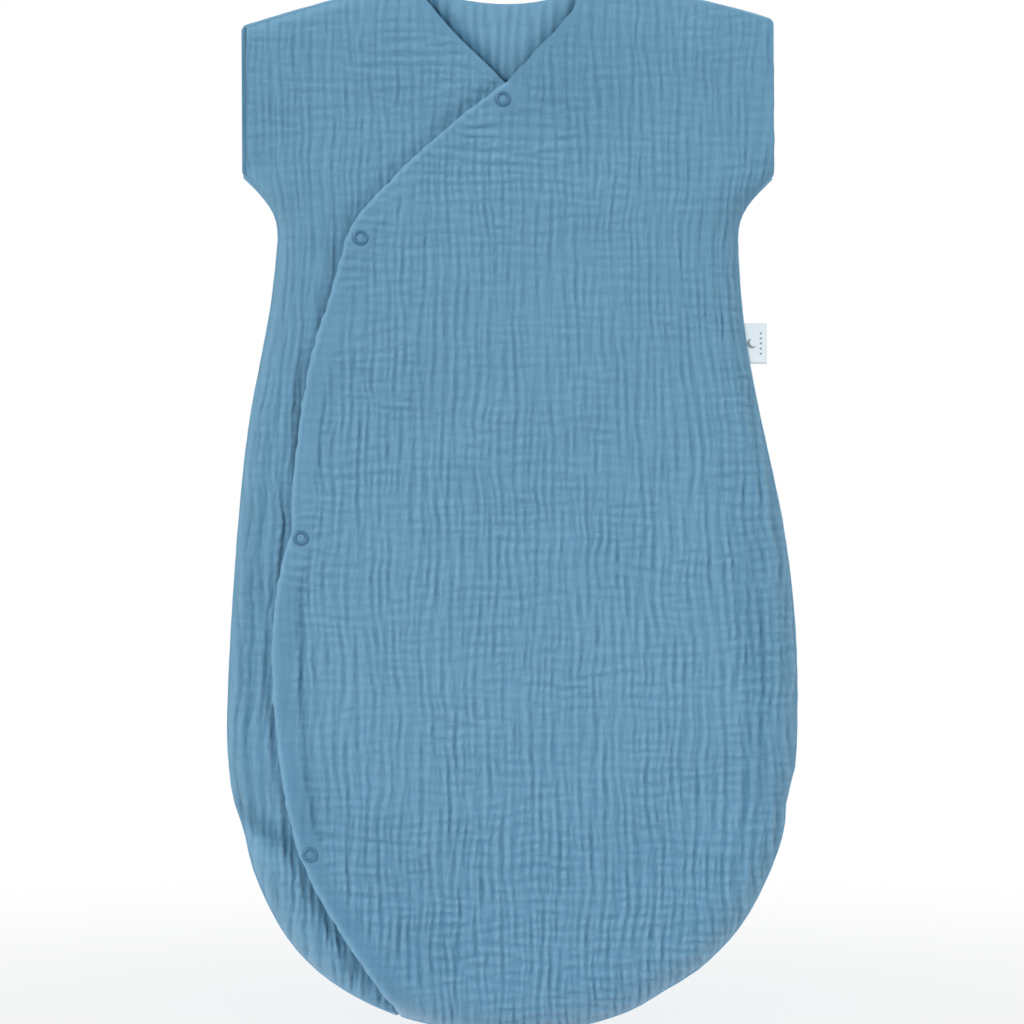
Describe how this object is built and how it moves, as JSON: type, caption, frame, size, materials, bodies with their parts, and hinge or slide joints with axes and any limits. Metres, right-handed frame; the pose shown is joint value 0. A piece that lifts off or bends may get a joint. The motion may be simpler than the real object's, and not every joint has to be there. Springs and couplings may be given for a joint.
{
  "type": "baby sleeping bag",
  "caption": "Wrap-front baby sleeping bag in crinkled double gauze, egg-shaped with cap sleeves and a diagonal edge closed by ring snaps; both fronts fold open.",
  "frame": {"origin": "lowest point of the foot, in the middle of the width and of the depth", "axes": "+Z from the foot to the shoulders, the front faces -Y, +X to the wearer's left"},
  "size_m": [0.378, 0.0322, 0.6997],
  "materials": {
    "gauze": "crinkled cotton double gauze, matte, mid blue",
    "facing_cloth": "smooth cotton strip in the same blue, matte",
    "snap_lacquer": "brass ring lacquered in a slightly darker blue, satin",
    "snap_metal": "nickel-plated socket and stud",
    "label_ribbon": "white satin ribbon, folded"
  },
  "bodies": {
    "shell": {"back_panel": "gauze", "right_front_panel": "gauze", "left_front_panel": "gauze", "right_neck_facing": "facing_cloth", "stud_tape": "facing_cloth", "back_neck_facing": "facing_cloth", "sleeve_facing_right": "facing_cloth", "sleeve_facing_left": "facing_cloth", "side_seam_left": "gauze", "side_seam_right": "gauze", "shoulder_seam_left": "gauze", "shoulder_seam_right": "gauze", "snap_2_stud": "snap_metal", "snap_2_stud_ring": "snap_lacquer", "snap_3_stud": "snap_metal", "snap_3_stud_ring": "snap_lacquer", "snap_4_stud": "snap_metal", "snap_4_stud_ring": "snap_lacquer"},
    "overlap": {"overlap_flap": "gauze", "overlap_facing": "facing_cloth", "snap_1_cap_ring": "snap_lacquer", "snap_1_socket": "snap_metal", "snap_2_cap_ring": "snap_lacquer", "snap_2_socket": "snap_metal", "snap_3_cap_ring": "snap_lacquer", "snap_3_socket": "snap_metal", "snap_4_cap_ring": "snap_lacquer", "snap_4_socket": "snap_metal"},
    "underlap": {"underlap_flap": "gauze", "underlap_facing": "facing_cloth", "snap_1_stud": "snap_metal", "snap_1_stud_ring": "snap_lacquer"},
    "side_label": {"side_label": "label_ribbon"},
    "care_label": {"care_label": "label_ribbon"}
  },
  "joints": [
    {"name": "overlap_fold", "type": "hinge", "parent": "shell", "child": "overlap", "pos_m": [-0.01327, -0.01615, 0.35], "axis": [0.1779, 0, 0.9841], "range_deg": [0, 170]},
    {"name": "underlap_fold", "type": "hinge", "parent": "shell", "child": "underlap", "pos_m": [-0.05636, -0.01025, 0.34], "axis": [-0.054, 0, -0.9985], "range_deg": [0, 127.5]},
    {"name": "side_label_fold", "type": "hinge", "parent": "shell", "child": "side_label", "pos_m": [0.16205, 0.01335, 0.458], "axis": [-0.1698, 0, 0.9855], "range_deg": [-80, 10]},
    {"name": "care_label_fold", "type": "hinge", "parent": "shell", "child": "care_label", "pos_m": [0.17809, 0.01345, 0.3], "axis": [-0.0917, 0, 0.9958], "range_deg": [0, 20]}
  ],
  "couplings": [
    {"joint": "underlap_fold", "follows": "overlap_fold", "ratio": 0.75}
  ]
}
